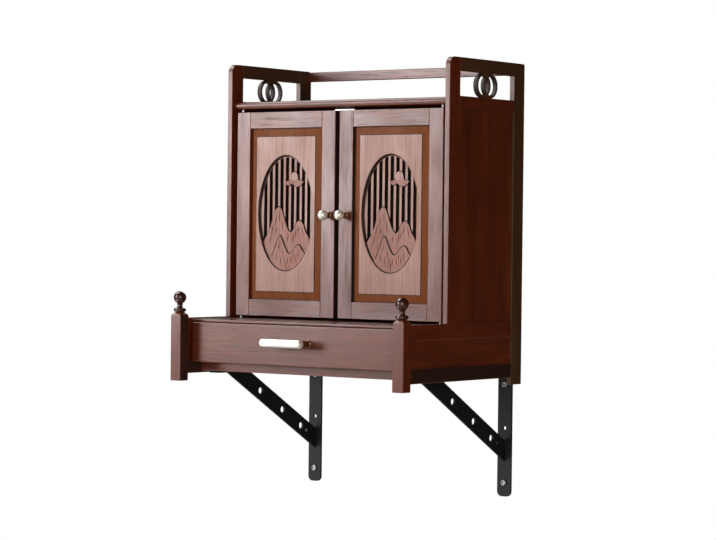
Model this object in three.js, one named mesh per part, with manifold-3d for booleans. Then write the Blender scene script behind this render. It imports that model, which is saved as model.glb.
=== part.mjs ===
// A household altar cabinet that hangs on a wall: a two-door case with a pierced gallery above,
// standing on a deeper base that holds one drawer, carried by a pair of steel wall brackets.
// Millimetres. X runs across the cabinet, Y goes into the wall and Z is up.
// The origin is on the wall plane, on the centre line, level with the top of the table board.
import * as THREE from 'three';
import { mergeVertices } from 'three/addons/utils/BufferGeometryUtils.js';
import Module from 'manifold-3d';

const wasm = await Module();
wasm.setup();

// ---- Driving dimensions -------------------------------------------------------------------

const CASE_WIDTH = 460; // over the two side frames
const CASE_DEPTH = 222.5; // wall to the front edge of a side frame
const CASE_TOP = 434;
const BOARD = 9.25; // thickness of the side frames' wood
const STILE = 30; // width of a side frame's front stile
const BACK_STILE = 31.5; // width of its back stile
const STILE_FOOT = -103.5; // lower end of the back stiles and front posts
const CORNER = 14; // rounded top front corner
const PANEL = 4.5; // thickness of the thin side panels
const INNER = CASE_WIDTH / 2 - BOARD; // half the clear width between the side frames

const WINDOW = [371.25, 412]; // bottom and top of the gallery windows
const ROOF_RAIL_HEIGHT = 20.5;
const ROOF = [356.5, 369.25]; // underside and top of the roof board
const ROOF_FRONT = 216;
const GALLERY_RAIL = [415.5, 432.5];
const BACK_PANEL = 6;

const RIM = 2; // the base sides stand this far above the table board
const TABLE = 4.5; // thickness of the table board
const TABLE_FRONT = 325;
const BASE_BOTTOM = -91.5;
const BASE_RAIL_TOP = [-23, RIM];
const BASE_RAIL_BOTTOM = [BASE_BOTTOM, -67];
const POST = 21.5; // square section of the front posts
const POST_X = 228.25;
const POST_FRONT = 357;
const POST_TOP = 11.5;
const POST_CHAMFER = 5;
const SILL = { front: 299, thick: 14, z: [-87.5, -71] };
const FLOOR = 6; // thickness of the base's floor board

const DOOR = { front: 216, thick: 16, z: [4.5, 351.25], inner: 4.25, outer: 213.5 };
const DOOR_STILE = 28;
const HINGE = { x: 207, y: -208, radius: 2.5, into: 3 };
const FIELD = { margin: 14.5, behind: 1, step: 1, fall: 4 };
const OVAL = { halfWidth: 58.5, halfHeight: 98.5, z: 179.4, depth: 4.5, slope: 3 };
const SLOT = { count: 9, pitch: 11.5, width: 6 };
const DOOR_PANEL_BACK = 203.5;
const KNOB = { x: 17, z: 176.5, ball: 8.6, reach: 15.8, neck: 4.2, flange: 6 };

const DRAWER = { front: 328, thick: 14, half: 216.5, z: [-71.5, -5.5], back: 50, wall: 10 };
const DRAWER_BOX = { z: [-70.5, -12], floor: [-67, -63] };
const HANDLE = { x: -4.75, z: -34, half: 42.5, radius: 7, reach: 28, legs: 34.25, leg: 5 };

const BRACKET_X = 200.7;
const BAR = { width: 27, thick: 4, round: 9 };
const ARM = { top: -87.5, reach: 290 };
const UPRIGHT_FOOT = -294.5;
const STRUT = { foot: -217.5, slope: 0.5725, width: 29.8 };
const STRUT_HOLES = [[46.5, 6], [100, 6], [162.4, 6], [30.2, 3]]; // distance from the wall, radius
const UPRIGHT_HOLES = [[-104.6, 2.8], [-179, 3.2], [-271.4, 2.8]]; // height, radius
const SCREW = { head: 5.4, rise: 3.2, shank: 2.2 };

const FINE = 24; // sides of a ring

// ---- Materials ----------------------------------------------------------------------------

function wood(colour) {
  return new THREE.MeshStandardMaterial({ color: colour, roughness: 0.42, metalness: 0 });
}

function metal(colour, roughness) {
  return new THREE.MeshStandardMaterial({ color: colour, roughness, metalness: 1 });
}

const frameWood = () => wood(0x5a2c1a);
const panelWood = () => wood(0x6a3520);
const hiddenWood = () => wood(0x7a4a30);
const carvedWood = () => wood(0x8a5038);
const brass = () => metal(0xe6cf9a, 0.18);
const blackSteel = () => new THREE.MeshStandardMaterial({ color: 0x1c1c1d, roughness: 0.55, metalness: 0.3 });
const zinc = () => metal(0xc9cacb, 0.3);

// ---- Shapes -------------------------------------------------------------------------------

const X = new THREE.Vector3(1, 0, 0);
const Y = new THREE.Vector3(0, 1, 0);
const Z = new THREE.Vector3(0, 0, 1);
const FRONT = new THREE.Vector3(0, -1, 0);

const cabinet = new THREE.Group();

function add(name, geometry, material) {
  const mesh = new THREE.Mesh(geometry, material);
  mesh.name = name;
  cabinet.add(mesh);
  return mesh;
}

// A board between two planes on each axis.
function board(x, y, z) {
  const size = [x, y, z].map(([low, high]) => high - low);
  const middle = [x, y, z].map(([low, high]) => (low + high) / 2);
  return new THREE.BoxGeometry(...size).translate(...middle);
}

// A shape drawn in (y, z), as thick as from x0 to x1.
function extrudeAcross(shape, x0, x1, curveSegments = 8) {
  const geometry = new THREE.ExtrudeGeometry(shape, { depth: x1 - x0, bevelEnabled: false, curveSegments });
  return geometry.applyMatrix4(new THREE.Matrix4().makeBasis(Y, Z, X).setPosition(x0, 0, 0));
}

// A shape drawn in (x, z), from the plane y = back forwards to y = front.
function extrudeForward(shape, back, front, curveSegments = 8) {
  const geometry = new THREE.ExtrudeGeometry(shape, { depth: back - front, bevelEnabled: false, curveSegments });
  return geometry.applyMatrix4(new THREE.Matrix4().makeBasis(X, Z, FRONT).setPosition(0, back, 0));
}

// A turned piece whose profile starts and ends on its own axis, standing along +Z.
function turned(path, sides, curvePoints) {
  return new THREE.LatheGeometry(path.getPoints(curvePoints), sides).rotateX(Math.PI / 2);
}

function solid(geometry) {
  const bare = geometry.clone();
  bare.deleteAttribute('normal');
  bare.deleteAttribute('uv');
  const merged = mergeVertices(bare, 1e-5);
  return new wasm.Manifold(new wasm.Mesh({
    numProp: 3,
    vertProperties: Float32Array.from(merged.attributes.position.array),
    triVerts: Uint32Array.from(merged.index.array),
  }));
}

function skin(manifold) {
  const { numProp, vertProperties, triVerts } = manifold.getMesh();
  const geometry = new THREE.BufferGeometry();
  geometry.setAttribute('position', new THREE.BufferAttribute(Float32Array.from(vertProperties), numProp));
  geometry.setIndex(new THREE.BufferAttribute(Uint32Array.from(triVerts), 1));
  geometry.computeVertexNormals();
  return geometry;
}

function rodAlongY(x, z, radius, y0, y1, sides = 16) {
  return new THREE.CylinderGeometry(radius, radius, y1 - y0, sides).translate(x, (y0 + y1) / 2, z);
}

function rodAlongX(y, z, radius, x0, x1, sides = 20) {
  return new THREE.CylinderGeometry(radius, radius, x1 - x0, sides)
    .rotateZ(Math.PI / 2)
    .translate((x0 + x1) / 2, y, z);
}

function rodAlongZ(x, y, radius, z0, z1, sides = 16) {
  return new THREE.CylinderGeometry(radius, radius, z1 - z0, sides)
    .rotateX(Math.PI / 2)
    .translate(x, y, (z0 + z1) / 2);
}

function drill(geometry, ...bits) {
  return skin(bits.reduce((body, bit) => body.subtract(solid(bit)), solid(geometry)));
}

// ---- Side frames --------------------------------------------------------------------------

// Two overlapping rings held between the gallery rails by a short block above and below.
function ringOrnament(x0, x1) {
  const ring = { radius: 20.25, wall: 4, apart: 21.5 };
  const neck = 27;
  const y = -(CASE_DEPTH - STILE + BACK_STILE) / 2;
  const z = (WINDOW[0] + WINDOW[1]) / 2;
  let body = solid(board([x0, x1], [y - neck / 2, y + neck / 2], WINDOW));
  for (const side of [-1, 1]) {
    body = body.add(solid(rodAlongX(y + side * ring.apart / 2, z, ring.radius, x0, x1, FINE)));
  }
  for (const side of [-1, 1]) {
    const hole = rodAlongX(y + side * ring.apart / 2, z, ring.radius - ring.wall, x0 - 1, x1 + 1, FINE);
    const band = rodAlongX(y - side * ring.apart / 2, z, ring.radius, x0 - 2, x1 + 2, FINE);
    const inside = rodAlongX(y - side * ring.apart / 2, z, ring.radius - ring.wall, x0 - 3, x1 + 3, FINE);
    body = body.subtract(solid(hole).subtract(solid(band).subtract(solid(inside))));
  }
  return skin(body);
}

function frontStile() {
  const front = -CASE_DEPTH;
  const shape = new THREE.Shape();
  shape.moveTo(front, RIM);
  shape.lineTo(front + STILE, RIM);
  shape.lineTo(front + STILE, CASE_TOP);
  shape.lineTo(front + CORNER, CASE_TOP);
  shape.absarc(front + CORNER, CASE_TOP - CORNER, CORNER, Math.PI / 2, Math.PI, false);
  return shape;
}

function backStile() {
  const ease = 4;
  const shape = new THREE.Shape();
  shape.moveTo(-BACK_STILE, STILE_FOOT);
  shape.lineTo(0, STILE_FOOT);
  shape.lineTo(0, CASE_TOP - ease);
  shape.absarc(-ease, CASE_TOP - ease, ease, 0, Math.PI / 2, false);
  shape.lineTo(-BACK_STILE, CASE_TOP);
  return shape;
}

for (const [side, sign] of [['left', -1], ['right', 1]]) {
  const outer = sign * CASE_WIDTH / 2;
  const across = [outer, sign * INNER].sort((a, b) => a - b);
  const panelInset = (BOARD - PANEL) / 2;
  const thin = [across[0] + panelInset, across[1] - panelInset];
  const between = [-CASE_DEPTH + STILE, -BACK_STILE];
  const baseRun = [-POST_FRONT + POST, -BACK_STILE];
  const roofRail = [WINDOW[0] - ROOF_RAIL_HEIGHT, WINDOW[0]];
  add(`${side}_front_stile`, extrudeAcross(frontStile(), ...across), frameWood());
  add(`${side}_back_stile`, extrudeAcross(backStile(), ...across, 4), frameWood());
  add(`${side}_top_rail`, board(across, between, [WINDOW[1], CASE_TOP]), frameWood());
  add(`${side}_roof_rail`, board(across, between, roofRail), frameWood());
  add(`${side}_ring_ornament`, ringOrnament(across[0] + 0.2, across[1] - 0.2), frameWood());
  add(`${side}_side_panel`, board(thin, between, [RIM, roofRail[0]]), panelWood());
  add(`${side}_base_top_rail`, board(across, baseRun, BASE_RAIL_TOP), frameWood());
  add(`${side}_base_panel`, board(thin, baseRun, [BASE_RAIL_BOTTOM[1], BASE_RAIL_TOP[0]]), panelWood());
  add(`${side}_base_bottom_rail`, board(across, baseRun, BASE_RAIL_BOTTOM), frameWood());
}

// ---- Front posts and their turned finials --------------------------------------------------

function post() {
  const half = POST / 2;
  const ease = 1.6;
  const section = new THREE.Shape();
  section.moveTo(half, half - ease);
  for (const [cx, cy, start] of [[1, 1, 0], [-1, 1, 1], [-1, -1, 2], [1, -1, 3]]) {
    const from = start * Math.PI / 2;
    section.absarc(cx * (half - ease), cy * (half - ease), ease, from, from + Math.PI / 2, false);
  }
  const length = POST_TOP - STILE_FOOT;
  const shaft = new THREE.ExtrudeGeometry(section, { depth: length, bevelEnabled: false, curveSegments: 3 });
  const crown = half - POST_CHAMFER;
  const cone = new THREE.CylinderGeometry(crown * Math.SQRT2, (crown + length) * Math.SQRT2, length, 4)
    .rotateX(Math.PI / 2)
    .rotateZ(Math.PI / 4)
    .translate(0, 0, length / 2);
  return skin(solid(shaft).intersect(solid(cone)));
}

function finial() {
  const disc = { radius: 10.4, high: 7 };
  const neck = { radius: 4.6, z: 11 };
  const ball = { radius: 10.6, z: 24.4 };
  const lip = disc.high / 2;
  const seat = -Math.acos(neck.radius / ball.radius);
  const profile = new THREE.Path();
  profile.moveTo(0, 0);
  profile.lineTo(disc.radius - lip, 0);
  profile.absarc(disc.radius - lip, lip, lip, -Math.PI / 2, Math.PI / 2, false);
  profile.lineTo(neck.radius + 0.9, disc.high + 0.6);
  profile.quadraticCurveTo(neck.radius - 0.8, neck.z, neck.radius, ball.z + ball.radius * Math.sin(seat));
  profile.absarc(0, ball.z, ball.radius, seat, Math.PI / 2, false);
  return turned(profile, 18, 4);
}

for (const [side, sign] of [['left', -1], ['right', 1]]) {
  const y = -POST_FRONT + POST / 2;
  add(`${side}_front_post`, post(), frameWood()).position.set(sign * POST_X, y, STILE_FOOT);
  add(`${side}_finial`, finial(), frameWood()).position.set(sign * POST_X, y, POST_TOP);
}

// ---- Boards that join the two sides --------------------------------------------------------

const acrossCase = [-INNER, INNER];

function pinBores(z0, z1) {
  return [-1, 1].map((sign) => rodAlongZ(sign * HINGE.x, HINGE.y, HINGE.radius + 0.3, z0, z1));
}

function roofBoard() {
  const nose = (ROOF[1] - ROOF[0]) / 2;
  const shape = new THREE.Shape();
  shape.moveTo(0, ROOF[0]);
  shape.lineTo(0, ROOF[1]);
  shape.lineTo(-ROOF_FRONT + nose, ROOF[1]);
  shape.absarc(-ROOF_FRONT + nose, ROOF[0] + nose, nose, Math.PI / 2, Math.PI * 1.5, false);
  const plank = extrudeAcross(shape, ...acrossCase, 10);
  return drill(plank, ...pinBores(ROOF[0] - 1, ROOF[0] + HINGE.into + 0.3));
}

function tableBoard() {
  const plank = board(acrossCase, [-TABLE_FRONT, -BACK_PANEL], [-TABLE, 0]);
  return drill(plank, ...pinBores(-HINGE.into - 0.3, 1));
}

add('roof_board', roofBoard(), frameWood());
add('gallery_back_rail', board(acrossCase, [-BOARD, 0], GALLERY_RAIL), frameWood());
add('back_panel', board(acrossCase, [-BACK_PANEL, 0], [SILL.z[0], ROOF[0]]), hiddenWood());
add('table_board', tableBoard(), frameWood());
add('base_sill', board(acrossCase, [-SILL.front, -SILL.front + SILL.thick], SILL.z), frameWood());
add(
  'base_floor',
  board(acrossCase, [-SILL.front + SILL.thick, -BACK_PANEL], [SILL.z[1] - FLOOR, SILL.z[1]]),
  hiddenWood(),
);

// ---- Doors ---------------------------------------------------------------------------------

const doorFront = -DOOR.front;
const doorBack = doorFront + DOOR.thick;
const opening = {
  x: [DOOR.inner + DOOR_STILE, DOOR.outer - DOOR_STILE],
  z: [DOOR.z[0] + DOOR_STILE, DOOR.z[1] - DOOR_STILE],
};
const fieldFront = doorFront + FIELD.behind;
const recessFloor = fieldFront + OVAL.depth;
const ovalX = (opening.x[0] + opening.x[1]) / 2;

// Height of a mountain at a distance from its middle: a rounded hill or a sharp peak.
const hill = (reach, drop) => (away) => drop * (1 - Math.cos(Math.PI * Math.min(1, away / reach))) / 2;
const peak = (reach, drop) => (away) => drop * Math.sin(Math.PI / 2 * Math.min(1, away / reach));

const FAR_RANGE = [
  { at: -16.4, top: 10.5, fall: hill(36, 60) },
  { at: 26.6, top: -13, fall: hill(32, 42) },
];
const NEAR_RANGE = [
  { at: -13.9, top: -37.7, fall: peak(26, 40) },
  { at: 23.8, top: -52.6, fall: hill(24, 24) },
];

function ellipse(cx, halfWidth, halfHeight, grow) {
  const shape = new THREE.Shape();
  shape.absellipse(cx, OVAL.z, halfWidth + grow, halfHeight + grow, 0, 2 * Math.PI, false, 0);
  return shape;
}

// The skyline of a range, closed below the oval.
function mountains(cx, range) {
  const step = 3.2;
  const half = Math.ceil(OVAL.halfWidth / step) * step;
  const shape = new THREE.Shape();
  shape.moveTo(cx + half, OVAL.z - OVAL.halfHeight - 5);
  for (let u = half; u >= -half; u -= step) {
    const line = Math.max(...range.map((m) => m.top - m.fall(Math.abs(u - m.at))));
    shape.lineTo(cx + u, OVAL.z + line);
  }
  shape.lineTo(cx - half, OVAL.z - OVAL.halfHeight - 5);
  return shape;
}

// A drifting cloud with a scalloped underside, and a small rounded peak that rises out of it.
function cloud(cx) {
  const [x, z] = [cx - 9, OVAL.z + 46];
  const shape = new THREE.Shape();
  shape.moveTo(x, z + 3);
  shape.quadraticCurveTo(x + 6, z - 4, x + 13, z + 2);
  shape.quadraticCurveTo(x + 24, z - 6, x + 34, z);
  shape.quadraticCurveTo(x + 40, z, x + 43, z + 6);
  shape.quadraticCurveTo(x + 34, z + 3, x + 28, z + 6);
  shape.quadraticCurveTo(x + 20, z + 12, x + 10, z + 9);
  shape.quadraticCurveTo(x + 3, z + 9, x, z + 3);
  return shape;
}

function islet(cx) {
  const [x, z] = [cx + 12, OVAL.z + 53];
  const shape = new THREE.Shape();
  shape.moveTo(x - 9, z);
  shape.quadraticCurveTo(x - 8, z + 14, x, z + 17);
  shape.quadraticCurveTo(x + 8, z + 14, x + 9, z);
  return shape;
}

function raisedField(x, z) {
  const size = [x[1] - x[0], z[1] - z[0]];
  const middle = [(x[0] + x[1]) / 2, (z[0] + z[1]) / 2];
  const inner = size.map((s) => s - 2 * FIELD.margin);
  const shoulder = fieldFront + FIELD.step;
  const edge = shoulder + FIELD.fall;
  const plate = board(x, [edge, -DOOR_PANEL_BACK], z);
  const slope = new THREE.BoxGeometry(1, FIELD.fall, 1);
  const corner = slope.attributes.position;
  for (let i = 0; i < corner.count; i += 1) {
    const [w, h] = corner.getY(i) < 0 ? inner : size;
    corner.setXYZ(i, corner.getX(i) * w, corner.getY(i), corner.getZ(i) * h);
  }
  slope.translate(middle[0], (shoulder + edge) / 2, middle[1]);
  const spread = inner.map((s, i) => [middle[i] - s / 2, middle[i] + s / 2]);
  const raised = board(spread[0], [fieldFront, shoulder], spread[1]);
  return solid(plate).add(solid(slope)).add(solid(raised));
}

function ovalBowl(cx) {
  const bowl = new THREE.CylinderGeometry(1, 1, OVAL.depth + 1, 56);
  const rim = bowl.attributes.position;
  const lip = OVAL.slope / OVAL.depth;
  for (let i = 0; i < rim.count; i += 1) {
    const grow = rim.getY(i) < 0 ? lip : -OVAL.slope;
    rim.setX(i, rim.getX(i) * (OVAL.halfWidth + grow));
    rim.setZ(i, rim.getZ(i) * (OVAL.halfHeight + grow));
  }
  return solid(bowl.translate(cx, recessFloor - (OVAL.depth + 1) / 2, OVAL.z));
}

function carvedPanel(cx) {
  const half = (opening.x[1] - opening.x[0]) / 2;
  const back = -DOOR_PANEL_BACK;
  const reach = (shape, front, segments = 6) => solid(extrudeForward(shape, back, front, segments));
  const within = reach(ellipse(cx, OVAL.halfWidth, OVAL.halfHeight, -OVAL.slope + 0.6), doorFront - 5, 28);
  const well = solid(extrudeForward(
    ellipse(cx, OVAL.halfWidth, OVAL.halfHeight, -OVAL.slope),
    back + 1,
    doorFront - 5,
    28,
  ));
  let body = raisedField([cx - half, cx + half], opening.z).subtract(ovalBowl(cx));
  for (let i = 0; i < SLOT.count; i += 1) {
    const x = cx + (i - (SLOT.count - 1) / 2) * SLOT.pitch;
    const slit = board(
      [x - SLOT.width / 2, x + SLOT.width / 2],
      [doorFront - 4, back + 0.5],
      [OVAL.z - 60, OVAL.z + OVAL.halfHeight],
    );
    body = body.subtract(solid(slit).intersect(well));
  }
  const far = reach(mountains(cx, FAR_RANGE), recessFloor - 1.6).intersect(within);
  const near = reach(mountains(cx, NEAR_RANGE), recessFloor - 3.2).intersect(within);
  return skin(body.add(far).add(near).add(reach(cloud(cx), recessFloor - 1)).add(reach(islet(cx), recessFloor - 0.6)));
}

function knob() {
  const seat = -Math.acos(KNOB.neck / KNOB.ball);
  const profile = new THREE.Path();
  profile.moveTo(0, 0);
  profile.lineTo(KNOB.flange, 0);
  profile.lineTo(KNOB.flange, 1);
  profile.lineTo(KNOB.neck, 2.4);
  profile.lineTo(KNOB.neck, KNOB.reach + KNOB.ball * Math.sin(seat));
  profile.absarc(0, KNOB.reach, KNOB.ball, seat, Math.PI / 2, false);
  return turned(profile, 16, 4).rotateX(Math.PI / 2);
}

for (const [side, sign] of [['left', -1], ['right', 1]]) {
  const span = (a, b) => [sign * a, sign * b].sort((p, q) => p - q);
  const deep = [doorFront, doorBack];
  const name = (piece) => `${side}_door_${piece}`;
  add(name('hinge_stile'), board(span(opening.x[1], DOOR.outer), deep, DOOR.z), frameWood());
  add(name('meeting_stile'), board(span(DOOR.inner, opening.x[0]), deep, DOOR.z), frameWood());
  add(name('top_rail'), board(span(...opening.x), deep, [opening.z[1], DOOR.z[1]]), frameWood());
  add(name('bottom_rail'), board(span(...opening.x), deep, [DOOR.z[0], opening.z[0]]), frameWood());
  add(name('carved_panel'), carvedPanel(sign * ovalX), carvedWood());
  add(name('knob'), knob(), brass()).position.set(sign * KNOB.x, doorFront, KNOB.z);
  const pin = (z0, z1) => rodAlongZ(sign * HINGE.x, HINGE.y, HINGE.radius, z0, z1);
  add(name('top_pin'), pin(DOOR.z[1], ROOF[0] + HINGE.into), zinc());
  add(name('bottom_pin'), pin(-HINGE.into, DOOR.z[0]), zinc());
}

// ---- Drawer --------------------------------------------------------------------------------

const drawerBack = -DRAWER.back;
const frontInside = -DRAWER.front + DRAWER.thick;

add('drawer_front', board([-DRAWER.half, DRAWER.half], [-DRAWER.front, frontInside], DRAWER.z), frameWood());
for (const [side, sign] of [['left', -1], ['right', 1]]) {
  const across = [sign * DRAWER.half, sign * (DRAWER.half - DRAWER.wall)].sort((a, b) => a - b);
  add(`drawer_${side}_side`, board(across, [frontInside, drawerBack], DRAWER_BOX.z), hiddenWood());
}
const insideDrawer = [-DRAWER.half + DRAWER.wall, DRAWER.half - DRAWER.wall];
add('drawer_back', board(insideDrawer, [drawerBack - DRAWER.wall, drawerBack], DRAWER_BOX.z), hiddenWood());
add(
  'drawer_bottom',
  board(insideDrawer, [frontInside, drawerBack - DRAWER.wall], DRAWER_BOX.floor),
  hiddenWood(),
);

// A round bar with softened ends on two short legs.
function handle() {
  const y = -DRAWER.front - HANDLE.reach;
  const soft = 5;
  const profile = new THREE.Path();
  profile.moveTo(0, -HANDLE.half);
  profile.lineTo(HANDLE.radius - soft, -HANDLE.half);
  profile.absarc(HANDLE.radius - soft, -HANDLE.half + soft, soft, -Math.PI / 2, 0, false);
  profile.absarc(HANDLE.radius - soft, HANDLE.half - soft, soft, 0, Math.PI / 2, false);
  profile.lineTo(0, HANDLE.half);
  let body = solid(turned(profile, 16, 3).rotateY(Math.PI / 2).translate(HANDLE.x, y, HANDLE.z));
  for (const sign of [-1, 1]) {
    const leg = rodAlongY(HANDLE.x + sign * HANDLE.legs, HANDLE.z, HANDLE.leg, y, -DRAWER.front);
    body = body.add(solid(leg));
  }
  return skin(body);
}

add('drawer_handle', handle(), brass());

// ---- Wall brackets -------------------------------------------------------------------------

// A flat bar from one end to a far end whose two corners are rounded.
function flatBar(cx, start, end) {
  const half = BAR.width / 2;
  const way = Math.sign(end - start);
  const shape = new THREE.Shape();
  shape.moveTo(cx + half, start);
  shape.lineTo(cx + half, end - way * BAR.round);
  shape.quadraticCurveTo(cx + half, end, cx + half - BAR.round, end);
  shape.lineTo(cx - half + BAR.round, end);
  shape.quadraticCurveTo(cx - half, end, cx - half, end - way * BAR.round);
  shape.lineTo(cx - half, start);
  return shape;
}

function upright(x) {
  const bar = extrudeForward(flatBar(x, ARM.top, UPRIGHT_FOOT), 0, -BAR.thick, 6);
  const bits = UPRIGHT_HOLES.map(([z, radius]) => rodAlongY(x, z, radius, -BAR.thick - 1, 1, 12));
  return drill(bar, ...bits);
}

function arm(x) {
  const bar = new THREE.ExtrudeGeometry(flatBar(x, -BAR.thick, -ARM.reach), {
    depth: BAR.thick,
    bevelEnabled: false,
    curveSegments: 6,
  });
  return bar.translate(0, 0, ARM.top - BAR.thick);
}

// The brace stands on edge, cut upright at the wall end and level under the arm.
function strut(x) {
  const half = STRUT.width / 2 * Math.hypot(1, STRUT.slope);
  const under = ARM.top - BAR.thick;
  const height = (y) => STRUT.foot + STRUT.slope * (-BAR.thick - y);
  const meets = (z) => -BAR.thick - (z - STRUT.foot) / STRUT.slope;
  const shape = new THREE.Shape();
  shape.moveTo(-BAR.thick, STRUT.foot - half);
  shape.lineTo(-BAR.thick, STRUT.foot + half);
  shape.lineTo(meets(under - half), under);
  shape.lineTo(meets(under + half), under);
  const bits = STRUT_HOLES.map(([away, radius]) => (
    rodAlongX(-away, height(-away), radius, x - BAR.thick, x + BAR.thick, 18)
  ));
  return drill(extrudeAcross(shape, x - BAR.thick / 2, x + BAR.thick / 2), ...bits);
}

function wallScrew() {
  const profile = new THREE.Path();
  profile.moveTo(0, 0);
  profile.lineTo(SCREW.shank, 0);
  profile.lineTo(SCREW.shank, BAR.thick);
  profile.lineTo(SCREW.head, BAR.thick);
  profile.quadraticCurveTo(SCREW.head, BAR.thick + SCREW.rise, 0, BAR.thick + SCREW.rise);
  return turned(profile, 12, 4).rotateX(Math.PI / 2);
}

for (const [side, sign] of [['left', -1], ['right', 1]]) {
  const x = sign * BRACKET_X;
  add(`${side}_bracket_upright`, upright(x), blackSteel());
  add(`${side}_bracket_arm`, arm(x), blackSteel());
  add(`${side}_bracket_strut`, strut(x), blackSteel());
  add(`${side}_upper_wall_screw`, wallScrew(), zinc()).position.set(x, 0, UPRIGHT_HOLES[0][0]);
  add(`${side}_lower_wall_screw`, wallScrew(), zinc()).position.set(x, 0, UPRIGHT_HOLES[2][0]);
}

export default cabinet;
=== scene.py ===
# A household altar cabinet for a wall: two carved doors, a pierced gallery above, a deeper base
# with one drawer and turned finials, and a pair of black steel brackets. Built in the order in
# which the real one is put together. Metres; X across, Y into the wall, Z up from the table board.
import math
import bpy
from mathutils import Matrix, Vector


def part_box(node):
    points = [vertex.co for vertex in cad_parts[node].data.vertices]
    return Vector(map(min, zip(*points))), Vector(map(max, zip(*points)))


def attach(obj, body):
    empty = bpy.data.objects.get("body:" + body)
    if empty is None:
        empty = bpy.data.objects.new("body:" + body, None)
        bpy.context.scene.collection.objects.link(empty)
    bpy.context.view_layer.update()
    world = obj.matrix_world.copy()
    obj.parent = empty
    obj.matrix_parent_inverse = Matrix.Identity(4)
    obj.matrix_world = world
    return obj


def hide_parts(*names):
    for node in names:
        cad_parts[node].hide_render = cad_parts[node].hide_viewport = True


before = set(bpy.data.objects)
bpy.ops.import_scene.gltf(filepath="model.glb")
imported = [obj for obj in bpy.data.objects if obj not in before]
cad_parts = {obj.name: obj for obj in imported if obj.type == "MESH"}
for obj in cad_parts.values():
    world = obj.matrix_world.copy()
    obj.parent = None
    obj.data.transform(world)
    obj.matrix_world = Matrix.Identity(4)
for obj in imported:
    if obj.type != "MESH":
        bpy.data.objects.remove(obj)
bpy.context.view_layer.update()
scene = bpy.context.scene
scene.view_settings.view_transform = "Standard"


# ---- Camera -----------------------------------------------------------------------------------
# A long lens a little over four metres away, to the right of the cabinet and level with its base,
# turned almost square to the doors' diagonal and rolled by a fraction of a degree.

lens = bpy.data.cameras.new("long_lens")
lens.sensor_width = 36.0
lens.lens = 127.5
lens.clip_start = 0.1
camera = bpy.data.objects.new("camera", lens)
scene.collection.objects.link(camera)
pan = Matrix.Rotation(math.radians(36.228), 4, "Z")
tilt = Matrix.Rotation(math.radians(90 - 0.745), 4, "X")
roll = Matrix.Rotation(math.radians(0.666), 4, "Z")
camera.matrix_world = Matrix.Translation((2.5263, -3.6017, 0.1406)) @ pan @ tilt @ roll
scene.camera = camera


# ---- Studio -----------------------------------------------------------------------------------
# A tall softbox at the front left lights the doors and lies in their varnish as a pale sheen. One
# at the right opens the side, and one behind keeps the back readable. Three cards, in front, high
# and low, show only in gloss: they edge the rounded wood and fill the undersides of the brass.

def softbox(name, place, aim, width, height, power, colour, sheen=True, body=True):
    light = bpy.data.lights.new(name, "AREA")
    light.shape = "RECTANGLE"
    light.size, light.size_y = width, height
    light.energy = power
    light.color = colour
    lamp = bpy.data.objects.new(name, light)
    scene.collection.objects.link(lamp)
    lamp.location = place
    lamp.rotation_euler = (Vector(aim) - Vector(place)).to_track_quat("-Z", "Y").to_euler()
    lamp.visible_camera = False
    lamp.visible_diffuse = body
    lamp.visible_glossy = sheen


KEY_PLACE = (-1.66, -2.30, 0.61)
KEY_AIM = (0, -0.2, 0.15)
softbox("key_sheen", KEY_PLACE, KEY_AIM, 0.86, 1.25, 57, (1.0, 0.985, 1.0), body=False)
softbox("key_fill", KEY_PLACE, KEY_AIM, 0.86, 1.25, 36, (1.0, 0.975, 0.985), sheen=False)
softbox("side_softbox", (1.95, -2.25, 0.35), (0.1, -0.2, 0.1), 1.2, 1.2, 22.5, (1.0, 0.97, 0.94))
softbox("front_card", (0.9, -3.0, 0.5), (0.05, -0.2, 0.1), 3.2, 3.0, 36, (1.0, 0.98, 0.94), body=False)
softbox("edge_card", (-1.5, -0.4, 2.0), (0, -0.3, 0.1), 1.5, 1.5, 60, (1.0, 0.98, 0.96), body=False)
softbox("low_card", (-0.75, -0.95, -0.65), (0, -0.4, -0.05), 0.9, 0.5, 5, (1.0, 0.98, 0.94), body=False)
softbox("back_softbox", (-1.3, 2.4, 1.5), (0, 0, 0.1), 1.6, 1.6, 30, (1.0, 0.98, 0.96))

studio = bpy.data.worlds.new("studio")
scene.world = studio
studio.use_nodes = True
air = studio.node_tree
ray = air.nodes.new("ShaderNodeLightPath")
pale = air.nodes.new("ShaderNodeBackground")
pale.inputs["Color"].default_value = (1, 1, 1, 1)
dim = air.nodes["Background"]
dim.inputs["Color"].default_value = (1, 1, 1, 1)
dim.inputs["Strength"].default_value = 0.02
either = air.nodes.new("ShaderNodeMixShader")
air.links.new(ray.outputs["Is Camera Ray"], either.inputs[0])
air.links.new(dim.outputs[0], either.inputs[1])
air.links.new(pale.outputs[0], either.inputs[2])
air.links.new(either.outputs[0], air.nodes["World Output"].inputs["Surface"])

bpy.ops.object.select_all(action="DESELECT")
bpy.ops.mesh.primitive_circle_add(vertices=96, radius=3.4, fill_type="NGON", location=(0, 0.4, -0.85))
floor = bpy.context.object
floor.name = "studio_floor"
paint = bpy.data.materials.new("pale_floor_paint")
paint.use_nodes = True
floor_shader = paint.node_tree.nodes["Principled BSDF"]
floor_shader.inputs["Base Color"].default_value = (0.86, 0.86, 0.86, 1)
floor_shader.inputs["Roughness"].default_value = 0.8
floor.data.materials.append(paint)


# ---- Side frames ------------------------------------------------------------------------------
# Each side is a frame of four straight-grained members in dark red-brown varnished hardwood:
# the tall stiles, and two rails that leave a window for the gallery. Their edges are eased. Other
# members take a paler wood on their eased edges: partly sanding wear, where the varnish is
# thinner, and partly a painted highlight.

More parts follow.
